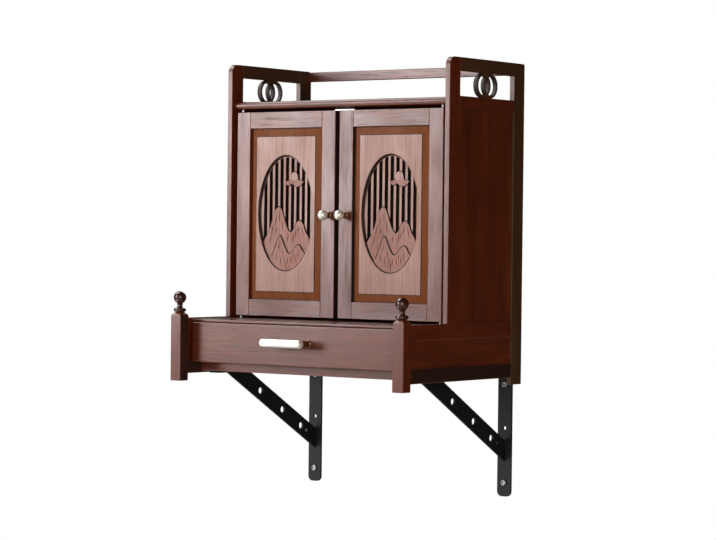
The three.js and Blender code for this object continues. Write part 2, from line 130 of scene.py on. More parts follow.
def wood(name, along, dark, light, pore, shine, figure=0.5, relief=0.22):
    """Varnished hardwood whose fibres run along one axis."""
    made = bpy.data.materials.get(name)
    if made:
        return made
    made = bpy.data.materials.new(name)
    made.use_nodes = True
    tree = made.node_tree
    shader = tree.nodes["Principled BSDF"]
    place = tree.nodes.new("ShaderNodeTexCoord")

    def fibres(across, stretch, detail, twist):
        spread = tree.nodes.new("ShaderNodeMapping")
        spread.inputs["Scale"].default_value = [stretch if a == along else 1.0 for a in "XYZ"]
        noise = tree.nodes.new("ShaderNodeTexNoise")
        noise.inputs["Scale"].default_value = across
        noise.inputs["Detail"].default_value = detail
        noise.inputs["Roughness"].default_value = 0.6
        noise.inputs["Distortion"].default_value = twist
        tree.links.new(place.outputs["Object"], spread.inputs["Vector"])
        tree.links.new(spread.outputs["Vector"], noise.inputs["Vector"])
        return noise.outputs["Fac"]

    def spanned(value, low, high, to_low, to_high):
        span = tree.nodes.new("ShaderNodeMapRange")
        ends = {"From Min": low, "From Max": high, "To Min": to_low, "To Max": to_high}
        for socket, number in ends.items():
            span.inputs[socket].default_value = number
        tree.links.new(value, span.inputs["Value"])
        return span.outputs["Result"]

    def mixed(factor, one, other):
        mix = tree.nodes.new("ShaderNodeMix")
        mix.data_type = "RGBA"
        tree.links.new(factor, mix.inputs["Factor"])
        for socket, colour in ((mix.inputs["A"], one), (mix.inputs["B"], other)):
            if isinstance(colour, tuple):
                socket.default_value = (*colour, 1)
            else:
                tree.links.new(colour, socket)
        return mix.outputs["Result"]

    bands = spanned(fibres(38, 0.10, 3, 0.6), 0.32, 0.68, 0.0, figure)
    strands = spanned(fibres(420, 0.035, 6, 0.1), 0.3, 0.7, 0.0, 1.0 - figure)
    both = tree.nodes.new("ShaderNodeMath")
    both.operation = "ADD"
    tree.links.new(bands, both.inputs[0])
    tree.links.new(strands, both.inputs[1])
    pores = spanned(fibres(600, 0.03, 4, 0.0), 0.55, 0.70, 0.0, 0.65)
    body = mixed(both.outputs["Value"], dark, light)
    tree.links.new(mixed(pores, body, pore), shader.inputs["Base Color"])
    polish = tree.nodes.new("ShaderNodeMath")
    polish.operation = "MULTIPLY_ADD"
    polish.inputs[1].default_value = 0.18
    tree.links.new(pores, polish.inputs[0])
    gloss = spanned(fibres(26, 0.4, 3, 0.3), 0.3, 0.7, shine - 0.05, shine + 0.05)
    tree.links.new(gloss, polish.inputs[2])
    tree.links.new(polish.outputs["Value"], shader.inputs["Roughness"])
    bump = tree.nodes.new("ShaderNodeBump")
    bump.inputs["Strength"].default_value = relief
    bump.inputs["Distance"].default_value = 0.0004
    bump.invert = True
    rough = tree.nodes.new("ShaderNodeMath")
    rough.operation = "ADD"
    tree.links.new(pores, rough.inputs[0])
    tree.links.new(strands, rough.inputs[1])
    tree.links.new(rough.outputs["Value"], bump.inputs["Height"])
    tree.links.new(bump.outputs["Normal"], shader.inputs["Normal"])
    return made


def varnished(along):
    return wood(f"dark_varnished_wood_{along}", along, (0.088, 0.0128, 0.0016), (0.222, 0.034, 0.0042),
                (0.03, 0.006, 0.0015), 0.33)


def weathered(along):
    return wood(f"browner_varnished_wood_{along}", along,
                (0.062, 0.022, 0.0065), (0.135, 0.050, 0.0155), (0.022, 0.009, 0.003), 0.40)


# A darker copy of the varnished wood, put where faces sit in shade: painted shade.
def shaded(along):
    return wood(f"painted_shade_varnished_wood_{along}", along,
                (0.022, 0.0055, 0.0013), (0.055, 0.014, 0.0034), (0.010, 0.003, 0.001), 0.40)


# A paler wood: the plugs' own colour. On eased edges it is partly wear, partly a painted highlight.
def paler_wood_wear_and_highlight(along):
    return wood(f"paler_edge_wear_and_highlight_wood_{along}", along, (0.12, 0.024, 0.0045), (0.26, 0.060, 0.015),
                (0.06, 0.014, 0.004), 0.36)


def block(low, high, name):
    """A squared piece between two corners."""
    low, high = Vector(low), Vector(high)
    bpy.ops.object.select_all(action="DESELECT")
    bpy.ops.mesh.primitive_cube_add(size=1, location=(low + high) / 2)
    piece = bpy.context.object
    piece.name = name
    piece.scale = high - low
    bpy.ops.object.transform_apply(location=True, rotation=True, scale=True)
    return piece


def activate(piece):
    bpy.ops.object.select_all(action="DESELECT")
    piece.select_set(True)
    bpy.context.view_layer.objects.active = piece


def ease(piece, width, segments=3, angle=30, edge_slot=1):
    """Rounds every sharp edge a little and keeps the flats flat."""
    activate(piece)
    bpy.ops.object.shade_smooth()
    bevel = piece.modifiers.new("eased_edges", "BEVEL")
    bevel.width = width
    bevel.segments = segments
    bevel.limit_method = "ANGLE"
    bevel.angle_limit = math.radians(angle)
    bevel.use_clamp_overlap = True
    # The rounded faces take the second material if there is one, a paler wood: partly a painted
    # highlight.
    if len(piece.data.materials) > edge_slot:
        bevel.material = edge_slot
    flats = piece.modifiers.new("flat_faces", "WEIGHTED_NORMAL")
    flats.mode = "FACE_AREA"
    flats.keep_sharp = False
    bpy.ops.object.modifier_apply(modifier=bevel.name)
    bpy.ops.object.modifier_apply(modifier=flats.name)


def round_edges(piece, wanted, radius, segments):
    """Rounds the edges whose two ends are both wanted."""
    activate(piece)
    bpy.ops.object.mode_set(mode="EDIT")
    bpy.ops.mesh.select_mode(type="EDGE")
    bpy.ops.mesh.select_all(action="DESELECT")
    bpy.ops.object.mode_set(mode="OBJECT")
    corners = piece.data.vertices
    for edge in piece.data.edges:
        edge.select = all(wanted(corners[end].co) for end in edge.vertices)
    bpy.ops.object.mode_set(mode="EDIT")
    bpy.ops.mesh.bevel(offset=radius, segments=segments, profile=0.5, affect="EDGES")
    bpy.ops.object.mode_set(mode="OBJECT")


def member(node, body, easing=0.0009, along=None, corner=None, worn_highlit_edges=True, finish=varnished):
    """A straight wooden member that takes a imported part's place, with its fibres lengthwise."""
    low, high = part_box(node)
    size = high - low
    along = along or "XYZ"[max(range(3), key=lambda a: size[a])]
    piece = block(low, high, f"{node}_wood")
    piece.data.materials.append(finish(along))
    # Its eased edges take the paler wood: partly wear, partly a painted highlight.
    if worn_highlit_edges:
        piece.data.materials.append(paler_wood_wear_and_highlight(along))
    if corner:
        corner(piece, low, high)
    ease(piece, easing)
    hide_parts(node)
    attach(piece, body)
    return piece


def rounded_front_top(piece, low, high):
    round_edges(piece, lambda c: c.z > high.z - 1e-4 and c.y < low.y + 1e-4, 0.014, 14)


def rounded_back_top(piece, low, high):
    round_edges(piece, lambda c: c.z > high.z - 1e-4 and c.y > high.y - 1e-4, 0.004, 6)


for side in ("left", "right"):
    member(f"{side}_front_stile", "cabinet", 0.0007, corner=rounded_front_top, worn_highlit_edges=False)
    member(f"{side}_back_stile", "cabinet", 0.0006, corner=rounded_back_top, worn_highlit_edges=False,
           finish=weathered)
    member(f"{side}_top_rail", "cabinet", 0.0003, worn_highlit_edges=False, finish=weathered)
    member(f"{side}_roof_rail", "cabinet", 0.0003, worn_highlit_edges=False)


# ---- Thin side panels -------------------------------------------------------------------------
# The case and the base are closed at the sides by thin panels of the same wood, plain sawn with a
# lively figure, set back from the face of the frame and varnished with it.

def panel_wood(along):
    return wood(f"figured_panel_wood_{along}", along, (0.09, 0.011, 0.0008), (0.235, 0.040, 0.0032),
                (0.045, 0.007, 0.001), 0.36, figure=0.72)


for side in ("left", "right"):
    for node, along in ((f"{side}_side_panel", "Z"), (f"{side}_base_panel", "Y")):
        low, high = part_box(node)
        panel = block(low, high, f"{node}_wood")
        panel.data.materials.append(panel_wood(along))
        panel.data.materials.append(paler_wood_wear_and_highlight(along))
        ease(panel, 0.0006)
        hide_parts(node)
        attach(panel, "cabinet")


# ---- Screw plugs -------------------------------------------------------------------------------
# The screws that hold the frames together are hidden under small plugs of a paler wood, which
# stand a hair proud: two near each front post and one high on the back stile.

PLUG_RADIUS = 0.0024
PLUG_LONG = 0.002
PLUG_PROUD = 0.0003
PLUG_SPOTS = {"upper_front": (-0.314, -0.010), "lower_front": (-0.321, -0.079), "back": (-0.017, 0.360)}

for side, sign in (("left", -1), ("right", 1)):
    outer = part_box(f"{side}_base_top_rail")[1 if sign > 0 else 0].x
    for spot, (y, z) in PLUG_SPOTS.items():
        x = outer + sign * (PLUG_PROUD - PLUG_LONG / 2)
        bpy.ops.object.select_all(action="DESELECT")
        bpy.ops.mesh.primitive_cylinder_add(vertices=24, radius=PLUG_RADIUS, depth=PLUG_LONG,
                                            rotation=(0, math.pi / 2, 0), location=(x, y, z))
        plug = bpy.context.object
        plug.name = f"{side}_{spot}_plug"
        bpy.ops.object.transform_apply(location=True, rotation=True, scale=True)
        plug.data.materials.append(paler_wood_wear_and_highlight("X"))
        ease(plug, 0.0002, segments=2, angle=40)
        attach(plug, "cabinet")


# ---- Linked rings -----------------------------------------------------------------------------
# Each gallery window holds two linked rings, cut from one thin board, rounded over by hand and
# glued to the rails by a short neck above and below.

RING_RADIUS = 0.02025
RING_WALL = 0.004
RING_APART = 0.0215
NECK_WIDTH = 0.027
NECK_START = 0.0150


# Near-black, dull wood that stands for the deep shade in gaps and recesses: painted shade.
def deep_shade_paint(along):
    return wood(f"painted_deep_shade_wood_{along}", along, (0.012, 0.0025, 0.0010), (0.028, 0.006, 0.002),
                (0.006, 0.002, 0.001), 0.62, relief=0.1)


def paint_deep_shade_on(piece, wanted):
    """Paints the wanted faces with deep shade, the dark that falls in closing gaps and recesses."""
    piece.data.materials.append(deep_shade_paint("Z"))
    for face in piece.data.polygons:
        if wanted(face):
            face.material_index = len(piece.data.materials) - 1


def ring(name, x, half_thick, y, z):
    bpy.ops.object.select_all(action="DESELECT")
    middle = RING_RADIUS - RING_WALL / 2
    bpy.ops.mesh.primitive_plane_add(size=1, location=(x, y, z + middle), rotation=(math.pi / 2, 0, 0))
    made = bpy.context.object
    made.name = name
    made.scale = (2 * half_thick, RING_WALL, 1)
    bpy.ops.object.transform_apply(location=True, rotation=True, scale=True)
    bpy.ops.object.mode_set(mode="EDIT")
    bpy.ops.mesh.select_all(action="SELECT")
    bpy.ops.mesh.bevel(offset=0.0011, segments=4, affect="VERTICES")
    bpy.ops.mesh.select_all(action="SELECT")
    bpy.ops.mesh.spin(steps=96, angle=2 * math.pi, center=(x, y, z), axis=(1, 0, 0))
    bpy.ops.mesh.select_all(action="SELECT")
    bpy.ops.mesh.remove_doubles(threshold=1e-6)
    bpy.ops.mesh.select_all(action="DESELECT")
    bpy.ops.object.mode_set(mode="OBJECT")
    return made


def without_inner_faces(piece, wanted):
    """Deletes the faces whose centre is wanted."""
    activate(piece)
    bpy.ops.object.mode_set(mode="EDIT")
    bpy.ops.mesh.select_mode(type="FACE")
    bpy.ops.mesh.select_all(action="DESELECT")
    bpy.ops.object.mode_set(mode="OBJECT")
    for face in piece.data.polygons:
        face.select = wanted(face)
    bpy.ops.object.mode_set(mode="EDIT")
    bpy.ops.mesh.delete(type="FACE")
    bpy.ops.mesh.select_all(action="SELECT")
    bpy.ops.mesh.normals_make_consistent(inside=False)
    bpy.ops.object.mode_set(mode="OBJECT")


for side in ("left", "right"):
    node = f"{side}_ring_ornament"
    low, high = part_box(node)
    x, y, z = (low + high) / 2
    half = (high.x - low.x) / 2
    pieces = []
    for step, shrink in ((-1, 0.0), (1, 0.0004)):
        hoop = ring(f"{node}_hoop", x, half - shrink, y + step * RING_APART / 2, z)
        without_inner_faces(hoop, lambda face: len(face.vertices) > 4)
        activate(hoop)
        bpy.ops.object.shade_smooth()
        pieces.append(hoop)
    for foot, head in ((z + NECK_START, high.z), (low.z, z - NECK_START)):
        neck = block((x - half + 0.0002, y - NECK_WIDTH / 2, foot),
                     (x + half - 0.0002, y + NECK_WIDTH / 2, head), f"{node}_neck")
        ease(neck, 0.0006)
        pieces.append(neck)
    bpy.ops.object.select_all(action="DESELECT")
    for part in pieces:
        part.select_set(True)
    bpy.context.view_layer.objects.active = pieces[0]
    bpy.ops.object.join()
    rings = bpy.context.object
    rings.name = f"{node}_wood"
    rings.data.materials.clear()
    rings.data.materials.append(weathered("Z"))
    # All but the rings' flat side faces are painted with deep shade.
    paint_deep_shade_on(rings, lambda face: abs(face.normal.x) < 0.7)
    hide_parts(node)
    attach(rings, "cabinet")


# ---- Base sides and front posts ---------------------------------------------------------------
# The base is deeper than the case: a rail above and below a thin panel on each side, running
# forward from the back stile into a square post with a chamfered head.

POST_CHAMFER = 0.005


def chamfered_head(piece, low, high):
    activate(piece)
    bpy.ops.object.mode_set(mode="EDIT")
    bpy.ops.mesh.select_mode(type="FACE")
    bpy.ops.mesh.select_all(action="DESELECT")
    bpy.ops.object.mode_set(mode="OBJECT")
    for face in piece.data.polygons:
        face.select = face.normal.z > 0.9
    bpy.ops.object.mode_set(mode="EDIT")
    bpy.ops.transform.translate(value=(0, 0, -POST_CHAMFER))
    bpy.ops.mesh.extrude_region_move(TRANSFORM_OT_translate={"value": (0, 0, POST_CHAMFER)})
    centre = (low + high) / 2
    taper = 1 - 2 * POST_CHAMFER / (high.x - low.x)
    bpy.ops.transform.resize(value=(taper, taper, 1), center_override=(centre.x, centre.y, high.z))
    bpy.ops.object.mode_set(mode="OBJECT")


for side in ("left", "right"):
    member(f"{side}_base_top_rail", "cabinet", 0.0010)
    # The bottom rail, low under the base, is painted darker as shade.
    member(f"{side}_base_bottom_rail", "cabinet", 0.0010, finish=shaded)
    post = member(f"{side}_front_post", "cabinet", 0.0014, corner=chamfered_head)
    # The post's inner side face, beside the drawer, is painted darker as shade.
    post.data.materials.append(shaded("Z"))
    inward = 1 if side == "left" else -1
    for face in post.data.polygons:
        if face.normal.x * inward > 0.9:
            face.material_index = 2


# ---- Finials ----------------------------------------------------------------------------------
# A turned ball on a waisted neck and a rounded disc, in the same wood, dowelled into each post.

def turned(name, stations, sides=64):
    """A piece turned on the lathe: radius and height of each station, from the foot up."""
    radius, height = stations[0]
    bpy.ops.object.select_all(action="DESELECT")
    bpy.ops.mesh.primitive_circle_add(vertices=sides, radius=radius, fill_type="NGON",
                                      location=(0, 0, height))
    piece = bpy.context.object
    piece.name = name
    bpy.ops.object.transform_apply(location=True, rotation=True, scale=True)
    bpy.ops.object.mode_set(mode="EDIT")
    bpy.ops.mesh.select_all(action="SELECT")
    for next_radius, next_height in stations[1:]:
        bpy.ops.mesh.extrude_region_move(TRANSFORM_OT_translate={"value": (0, 0, next_height - height)})
        grow = next_radius / radius
        bpy.ops.transform.resize(value=(grow, grow, 1), center_override=(0, 0, next_height))
        radius, height = next_radius, next_height
    bpy.ops.mesh.select_all(action="SELECT")
    bpy.ops.mesh.normals_make_consistent(inside=False)
    bpy.ops.object.mode_set(mode="OBJECT")
    bpy.ops.object.shade_smooth_by_angle(angle=math.radians(40))
    return piece


def arc(centre_radius, centre_height, radius, start, end, steps):
    """Stations round part of a circle, angles in degrees from straight out."""
    turn = [math.radians(start + (end - start) * i / steps) for i in range(steps + 1)]
    return [(max(centre_radius + radius * math.cos(a), 1e-5), centre_height + radius * math.sin(a))
            for a in turn]


def stand(piece, place, lean=None):
    """Moves a turned piece to its place, laid over by a rotation if it has one."""
    activate(piece)
    piece.matrix_world = Matrix.Translation(place) @ (lean or Matrix.Identity(4))
    bpy.ops.object.transform_apply(location=True, rotation=True, scale=True)


FORWARD = Matrix.Rotation(math.pi / 2, 4, "X")
polished_turned_wood = wood("polished_turned_wood", "Z", (0.035, 0.008, 0.002), (0.085, 0.020, 0.005),
                            (0.012, 0.003, 0.001), 0.22, relief=0.08)

for side in ("left", "right"):
    node = f"{side}_finial"
    low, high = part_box(node)
    centre = (low + high) / 2
    profile = [(0.0060, 0.0)] + arc(0.0069, 0.0035, 0.0035, -90, 90, 14)
    profile += [(0.0062, 0.0072), (0.0056, 0.0078), (0.0048, 0.0088), (0.0043, 0.0102),
                (0.0043, 0.0118), (0.0050, 0.0126), (0.0054, 0.0133), (0.0050, 0.0140)]
    profile += arc(0.0, 0.0244, 0.0106, -66, 89.5, 22)
    finial = turned(f"{node}_wood", profile)
    finial.data.materials.append(polished_turned_wood)
    stand(finial, (centre.x, centre.y, low.z))
    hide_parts(node)
    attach(finial, "cabinet")


# ---- Boards between the sides -----------------------------------------------------------------
# The roof board has a full round nose, the table board and the gallery rail are squared and
# eased, and the base is closed below by a sill and a thin floor. The back is one plain sheet.

NOSE_ROUND = 0.0061


def rounded_nose(piece, low, high):
    activate(piece)
    bpy.ops.object.mode_set(mode="EDIT")
    bpy.ops.mesh.select_mode(type="EDGE")
    bpy.ops.mesh.select_all(action="DESELECT")
    bpy.ops.object.mode_set(mode="OBJECT")
    corners = piece.data.vertices
    for edge in piece.data.edges:
        ends = [corners[i].co for i in edge.vertices]
        edge.select = all(c.y < low.y + 1e-4 for c in ends) and abs(ends[0].x - ends[1].x) > 0.1
    bpy.ops.object.mode_set(mode="EDIT")
    bpy.ops.mesh.bevel(offset=NOSE_ROUND, segments=14, profile=0.5, affect="EDGES")
    bpy.ops.object.mode_set(mode="OBJECT")


member("roof_board", "cabinet", 0.0004, along="X", corner=rounded_nose)
member("gallery_back_rail", "cabinet", 0.0012, along="X")
member("table_board", "cabinet", 0.0010, along="X")
member("base_sill", "cabinet", 0.0010, along="X")


def back_wood(along):
    return wood(f"plain_stained_wood_{along}", along, (0.10, 0.045, 0.022), (0.19, 0.095, 0.052),
                (0.05, 0.022, 0.012), 0.55, relief=0.35)


def plain(node, body, along):
    """A hidden board, sawn square and thinly stained."""
    low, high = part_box(node)
    piece = block(low, high, f"{node}_wood")
    piece.data.materials.append(back_wood(along))
    ease(piece, 0.0005, segments=2)
    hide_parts(node)
    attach(piece, body)


plain("back_panel", "cabinet", "Z")
plain("base_floor", "cabinet", "X")


# ---- Door frames ------------------------------------------------------------------------------
# Two stiles run the full height of each door, with the rails tenoned between them, all in the
# dark varnished wood. The doors turn on plain zinc-plated pins in the roof and table boards.

def metal(name, colour, low, high, scale, metallic=1.0):
    """Bare or plated metal with a faint uneven polish."""
    made = bpy.data.materials.get(name)
    if made:
        return made
    made = bpy.data.materials.new(name)
    made.use_nodes = True
    tree = made.node_tree
    shader = tree.nodes["Principled BSDF"]
    shader.inputs["Metallic"].default_value = metallic
    place = tree.nodes.new("ShaderNodeTexCoord")
    smear = tree.nodes.new("ShaderNodeTexNoise")
    smear.inputs["Scale"].default_value = scale
    smear.inputs["Detail"].default_value = 4
    tree.links.new(place.outputs["Object"], smear.inputs["Vector"])
    polish = tree.nodes.new("ShaderNodeMapRange")
    polish.inputs["To Min"].default_value = low
    polish.inputs["To Max"].default_value = high
    tree.links.new(smear.outputs["Fac"], polish.inputs["Value"])
    tree.links.new(polish.outputs["Result"], shader.inputs["Roughness"])
    tone = tree.nodes.new("ShaderNodeMix")
    tone.data_type = "RGBA"
    tone.inputs["A"].default_value = (*[c * 0.82 for c in colour], 1)
    tone.inputs["B"].default_value = (*colour, 1)
    tree.links.new(smear.outputs["Fac"], tone.inputs["Factor"])
    tree.links.new(tone.outputs["Result"], shader.inputs["Base Color"])
    bump = tree.nodes.new("ShaderNodeBump")
    bump.inputs["Strength"].default_value = 0.05
    bump.inputs["Distance"].default_value = 0.0002
    tree.links.new(smear.outputs["Fac"], bump.inputs["Height"])
    tree.links.new(bump.outputs["Normal"], shader.inputs["Normal"])
    return made


zinc = metal("dull_zinc_plate", (0.30, 0.30, 0.30), 0.35, 0.5, 300)
PIN_CHAMFER = 0.0005

for side in ("left", "right"):
    body = f"{side}_door"
    for part in ("hinge_stile", "meeting_stile", "top_rail", "bottom_rail"):
        piece = member(f"{side}_door_{part}", body, 0.0009)
        if part == "meeting_stile":
            # Both side faces of the stile, one seen in the gap between the doors, are painted with deep
            # shade.
            paint_deep_shade_on(piece, lambda face: abs(face.normal.x) > 0.9)
    for part in ("top_pin", "bottom_pin"):
        node = f"{side}_door_{part}"
        low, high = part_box(node)
        r, tall = (high.x - low.x) / 2, high.z - low.z
        pin = turned(f"{node}_steel", [(r - PIN_CHAMFER, 0), (r, PIN_CHAMFER), (r, tall - PIN_CHAMFER),
                                       (r - PIN_CHAMFER, tall)], 32)
        pin.data.materials.append(zinc)
        stand(pin, ((low.x + high.x) / 2, (low.y + high.y) / 2, low.z))
        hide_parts(node)
        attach(pin, body)


# ---- Door catch --------------------------------------------------------------------------------
# A bright steel double catch is screwed under the roof board on a wooden packing, just behind
# the meeting stiles, where it shows in the gap above the doors. The packing is near-black as
# painted shade, the dark under the roof board.

catch_steel = metal("bright_catch_steel", (0.66, 0.62, 0.61), 0.36, 0.46, 200)
roof_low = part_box("roof_board")[0]
door_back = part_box("left_door_meeting_stile")[1].y
CATCH_HALF = 0.0205
CATCH_FOOT = 0.0088
PACKING = 0.0026
packing = block((-CATCH_HALF + 0.004, door_back + 0.002, roof_low.z - PACKING),
                (CATCH_HALF - 0.002, door_back + 0.011, roof_low.z), "door_catch_packing")
# The packing's near-black wood is painted shade.
packing.data.materials.append(deep_shade_paint("X"))
catch = block((-CATCH_HALF + 0.002, door_back + 0.0006, roof_low.z - CATCH_FOOT),
              (CATCH_HALF + 0.002, door_back + 0.013, roof_low.z - PACKING), "door_catch")
catch.data.materials.append(catch_steel)
for piece, slot in ((packing, "dark_wood"), (catch, "zinc")):
    ease(piece, 0.0006)
    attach(piece, "cabinet")


# ---- Carved door panels -----------------------------------------------------------------------
# A raised and bevelled panel of a paler, pinkish wood. An oval is sunk into its field, pierced
# behind with nine upright slots, and carved in low relief with two ranges of hills, a cloud and
# an islet above it.

FIELD_MARGIN = 0.0145
LEDGE = 0.0011
FIELD_FALL = 0.004
FIELD_STEP = 0.001
OVAL_WIDE, OVAL_TALL = 0.0585, 0.0985
OVAL_HEIGHT = 0.1794
OVAL_DEPTH = 0.0050
WALL_SLOPE = 0.0030
SLOT_PITCH = 0.0115
SLOT_WIDE = 0.0070
GROOVE_WIDE = 0.0019
GROOVE_DEEP = 0.0010
RANGE_HALF = 0.0566


def carved_wood(name, dark, light):
    made = wood(name, "Z", dark, light, (0.15, 0.05, 0.027), 0.35, figure=0.45)
    made.node_tree.nodes["Principled BSDF"].inputs["Specular IOR Level"].default_value = 0.40
    return made


def smooth_line(*marks):
    """A smooth line through marks given in millimetres from the oval's centre."""
    across = [mark[0] / 1000 for mark in marks]
    height = [mark[1] / 1000 for mark in marks]
    slope = [0.0] * len(marks)
    for i in range(1, len(marks) - 1):
        slope[i] = (height[i + 1] - height[i - 1]) / (across[i + 1] - across[i - 1])

    def line(u):
        i = max(0, min(len(marks) - 2, sum(u > a for a in across) - 1))
        step = across[i + 1] - across[i]
        t = max(0.0, min(1.0, (u - across[i]) / step))
        ahead, behind = 3 * t * t - 2 * t ** 3, (t - 2 * t * t + t ** 3) * step
        level = height[i] * (1 - ahead) + height[i + 1] * ahead
        return level + slope[i] * behind + slope[i + 1] * (t ** 3 - t * t) * step

    return line


far_hills = smooth_line((-60, -62), (-46, -44), (-35, -25), (-26, 1), (-20, 9), (-15, 10), (-10, 5),
                        (-2, -16), (4, -28), (9, -32), (14, -29), (20, -18), (25, -13), (30, -13),
                        (35, -18), (41, -31), (46, -38), (60, -60))
near_hills = smooth_line((-60, -110), (-40, -86), (-30, -73), (-19, -47), (-12.5, -38), (-8, -44.5),
                         (-2, -57), (3.5, -66), (9, -68.5), (14, -65), (20, -57), (26.5, -53.5),
                         (31, -55.5), (36, -63), (42, -70), (60, -92))
cloud_top = smooth_line((-3.5, 51.5), (0, 54), (5, 55.5), (12, 55.5), (20, 56), (27, 55.5),
                        (33, 54.5), (36, 53))
cloud_foot = smooth_line((-3.5, 51.5), (-1, 49), (3, 47), (7, 48), (10.5, 50), (14, 48), (19, 45.5),
                         (24, 45), (30, 47.5), (36, 53))


def islet_top(u):
    away = min(1, abs(u - 0.0155) / 0.0082)
    return 0.0545 + 0.0150 * (1 - away ** 3) ** 0.5


def bevel_wood():
    made = wood("panel_bevel_wood", "Z", (0.205, 0.050, 0.009), (0.345, 0.100, 0.021),
                (0.09, 0.021, 0.005), 0.5, figure=0.35)
    made.node_tree.nodes["Principled BSDF"].inputs["Specular IOR Level"].default_value = 0.14
    return made


def gouged_wood():
    return wood("gouged_relief_wood", "Z", (0.235, 0.056, 0.024), (0.46, 0.138, 0.064),
                (0.13, 0.03, 0.014), 0.42, figure=0.45, relief=0.7)


def in_oval(point, cx, share=1.005):
    across, up = (point.x - cx) / OVAL_WIDE, (point.z - OVAL_HEIGHT) / OVAL_TALL
    return across * across + up * up < share * share


def oval_foot(u):
    return -(OVAL_TALL - 0.0018) * math.sqrt(max(0, 1 - (u / (OVAL_WIDE - 0.0018)) ** 2))


def islet_foot(u):
    return 0.0549 - 0.0001 * math.cos(u * 300)


def layer(name, cx, start, end, columns, top, foot, front, back):
    """A flat carved layer between two lines, as deep as from back to front."""
    steps = [start + (end - start) * i / 2000 for i in range(2001)]
    inside = [u for u in steps if top(u) > foot(u) + 1e-5]
    start, end = min(inside), max(inside)
    bpy.ops.object.select_all(action="DESELECT")
    bpy.ops.mesh.primitive_grid_add(x_subdivisions=columns, y_subdivisions=1, size=1)
    piece = bpy.context.object
    piece.name = name
    for corner in piece.data.vertices:
        share = corner.co.x + 0.5
        u = start + share * (end - start)
        line = top(u) if corner.co.y > 0 and 0.001 < share < 0.999 else foot(u)
        corner.co = (cx + u, back, OVAL_HEIGHT + line)
    bpy.ops.object.mode_set(mode="EDIT")
    bpy.ops.mesh.select_all(action="SELECT")
    bpy.ops.mesh.extrude_region_move(TRANSFORM_OT_translate={"value": (0, front - back, 0)})
    bpy.ops.mesh.select_all(action="SELECT")
    bpy.ops.mesh.remove_doubles(threshold=2e-6)
    bpy.ops.mesh.select_all(action="SELECT")
    bpy.ops.mesh.normals_make_consistent(inside=False)
    bpy.ops.object.mode_set(mode="OBJECT")
    return piece


def boolean(piece, tool, operation, overlapping=False):
    activate(piece)
    cut = piece.modifiers.new("carve", "BOOLEAN")
    cut.operation = operation
    cut.object = tool
    cut.solver = "EXACT"
    cut.use_self = overlapping
    bpy.ops.object.modifier_apply(modifier=cut.name)
    bpy.data.objects.remove(tool)


def sink_oval(panel, cx, field):
    """Cuts the oval, with a sloping wall and an eased lip."""
    bpy.ops.object.select_all(action="DESELECT")
    bpy.ops.mesh.primitive_circle_add(vertices=160, radius=1, fill_type="NGON",
                                      rotation=(math.pi / 2, 0, 0))
    bowl = bpy.context.object
    bowl.scale = (OVAL_WIDE - WALL_SLOPE, OVAL_TALL - WALL_SLOPE, 1)
    bowl.location = (cx, field + OVAL_DEPTH, OVAL_HEIGHT)
    bpy.ops.object.transform_apply(location=True, rotation=True, scale=True)
    bpy.ops.object.mode_set(mode="EDIT")
    bpy.ops.mesh.select_all(action="SELECT")
    half, depth = [OVAL_WIDE - WALL_SLOPE, OVAL_TALL - WALL_SLOPE], OVAL_DEPTH
    for grow, rest in ((WALL_SLOPE * 0.86, 0.0006), (WALL_SLOPE * 0.98, 0.0002),
                       (WALL_SLOPE * 1.25, -0.00001), (WALL_SLOPE * 1.25, -0.003)):
        bpy.ops.mesh.extrude_region_move(TRANSFORM_OT_translate={"value": (0, rest - depth, 0)})
        wider = [OVAL_WIDE - WALL_SLOPE + grow, OVAL_TALL - WALL_SLOPE + grow]
        bpy.ops.transform.resize(value=(wider[0] / half[0], 1, wider[1] / half[1]),
                                 center_override=(cx, field + rest, OVAL_HEIGHT))
        half, depth = wider, rest
    bpy.ops.mesh.select_all(action="SELECT")
    bpy.ops.mesh.normals_make_consistent(inside=False)
    bpy.ops.object.mode_set(mode="OBJECT")
    boolean(panel, bowl, "DIFFERENCE")


def skyline_groove(name, cx, start, end, line, front, back):
    """The tool that cuts a groove along the outside of a range's skyline."""
    def outside(u):
        slope = (line(u + 0.0005) - line(u - 0.0005)) / 0.001
        return line(u) + GROOVE_WIDE * math.sqrt(1 + min(slope * slope, 4))

    return layer(name, cx, start, end, 140, outside, lambda u: line(u) - 0.003, front, back)


# Strokes of a narrow gouge that run down the slopes: top and foot, in millimetres from the centre.
STROKES = (((-16, -42), (-26, -66)), ((-13, -48), (-17, -66)), ((-24, -60), (-31, -77)),
           ((-19, -64), (-19, -82)), ((-12, -68), (-9, -91)), ((-7, -58), (-4, -76)),
           ((-1, -70), (-3, -87)), ((5, -71), (4, -88)), ((1, -78), (1, -95)),
           ((12, -70), (13, -88)), ((18, -62), (16, -80)), ((24, -66), (19, -87)),
           ((27, -58), (28, -78)), ((-15, 4), (-14, -18)), ((-19, 0), (-25, -24)),
           ((-10, -8), (-7, -34)), ((-26, -14), (-34, -42)), ((-30, -34), (-37, -52)),
           ((-20, -20), (-22, -38)), ((26, -18), (24, -38)), ((32, -20), (38, -42)),
           ((16, -30), (14, -52)), ((5, -34), (2, -50)), ((20, -26), (20, -44)))


